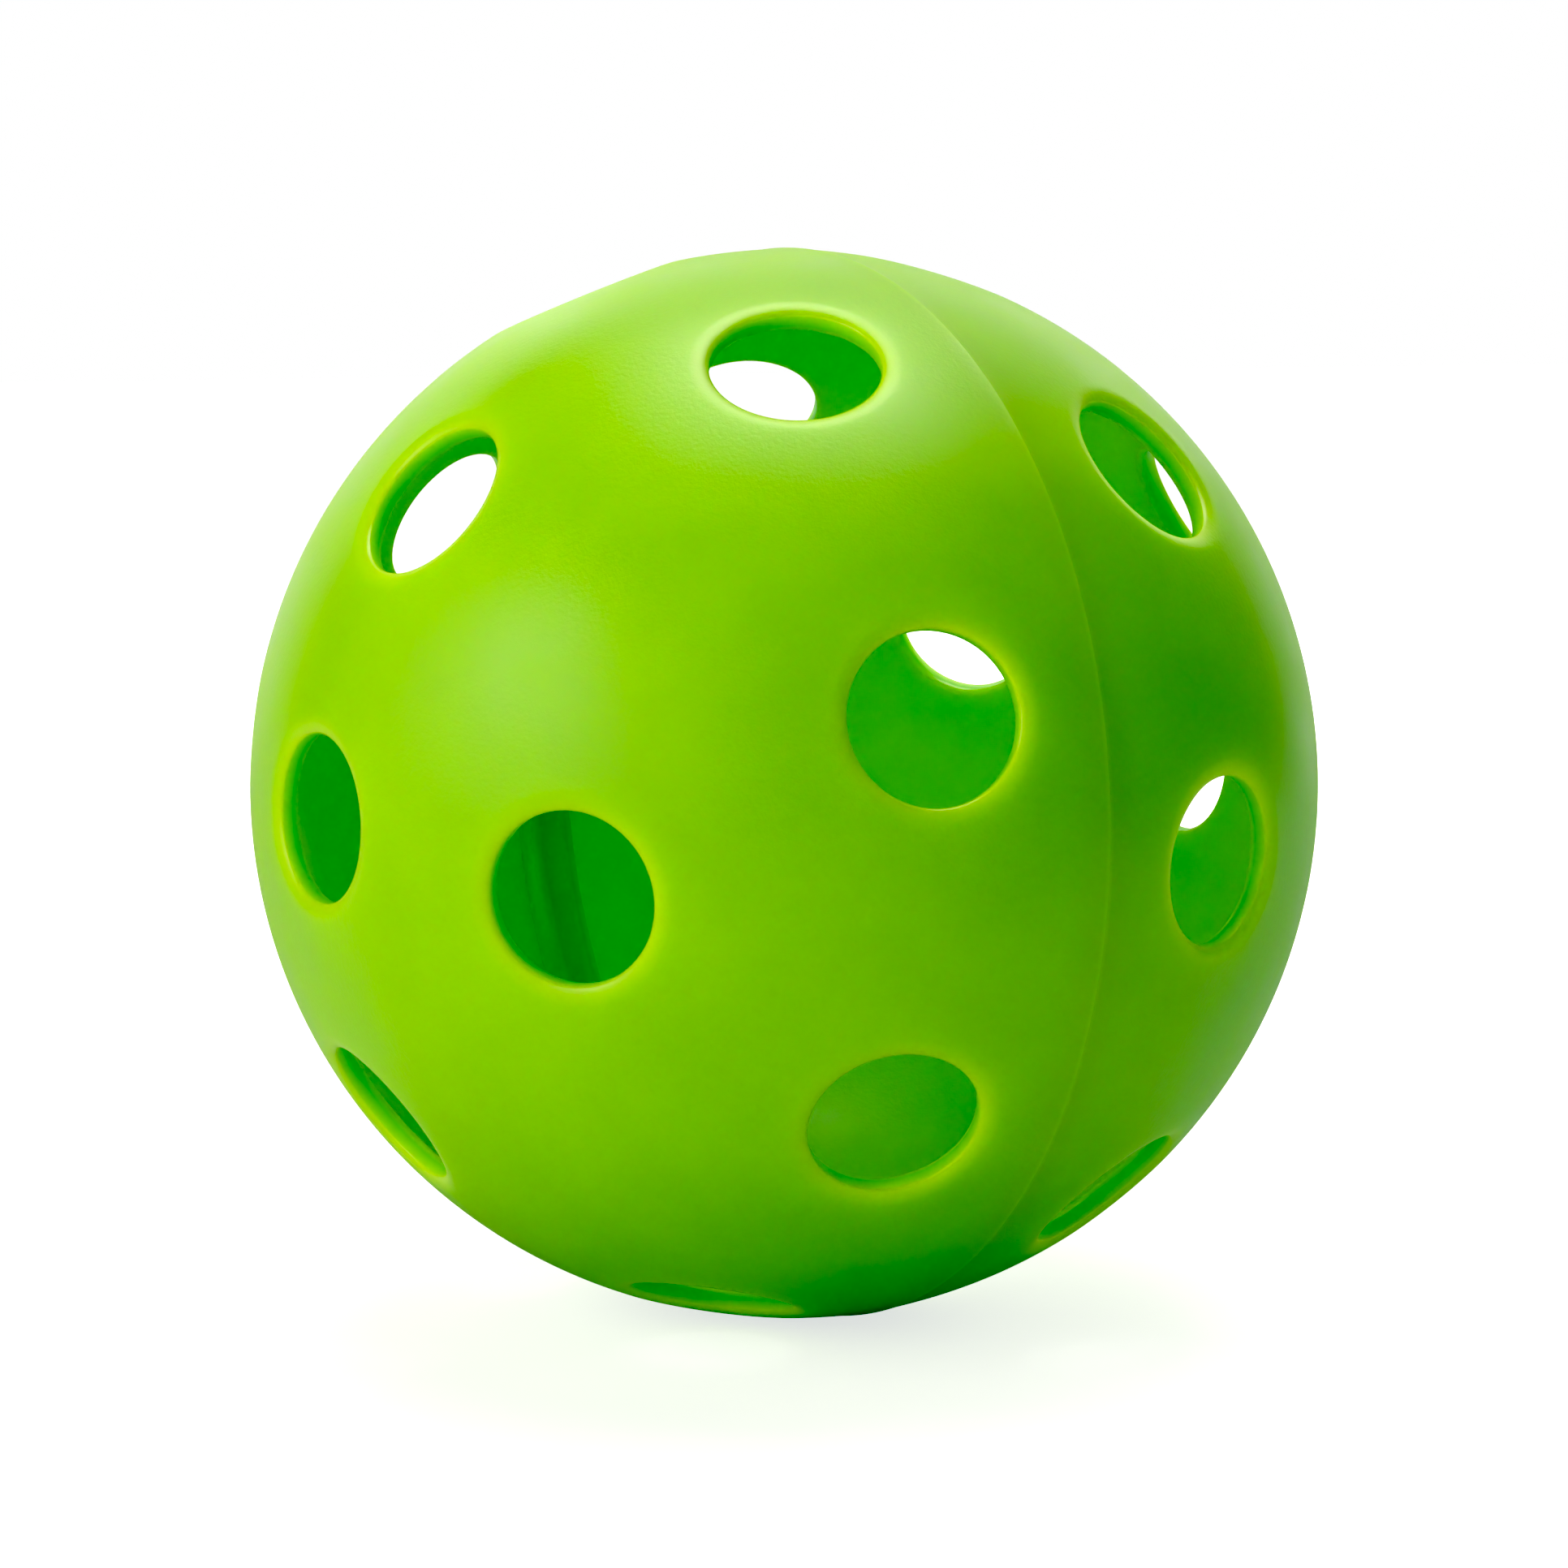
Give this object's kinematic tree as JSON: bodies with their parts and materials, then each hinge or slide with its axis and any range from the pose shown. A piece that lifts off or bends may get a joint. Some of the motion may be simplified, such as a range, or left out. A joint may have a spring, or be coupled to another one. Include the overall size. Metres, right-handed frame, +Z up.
{
  "type": "hollow practice ball",
  "caption": "Thin-walled hollow plastic ball with round holes all over, made of two welded half shells, for practice play.",
  "frame": {"origin": "centre of the ball", "axes": "+X along the axis through the two pole holes, square to the plane of the weld; +Z up as the ball lies in the picture"},
  "size_m": [0.071, 0.072, 0.072],
  "materials": {
    "shell_plastic": "satin moulded plastic, lime green, slightly translucent",
    "weld_plastic": "smooth remelted plastic, lime green, slightly translucent"
  },
  "bodies": {
    "root": {"left_half_shell": "shell_plastic", "right_half_shell": "shell_plastic", "weld_bead": "weld_plastic"}
  },
  "joints": []
}
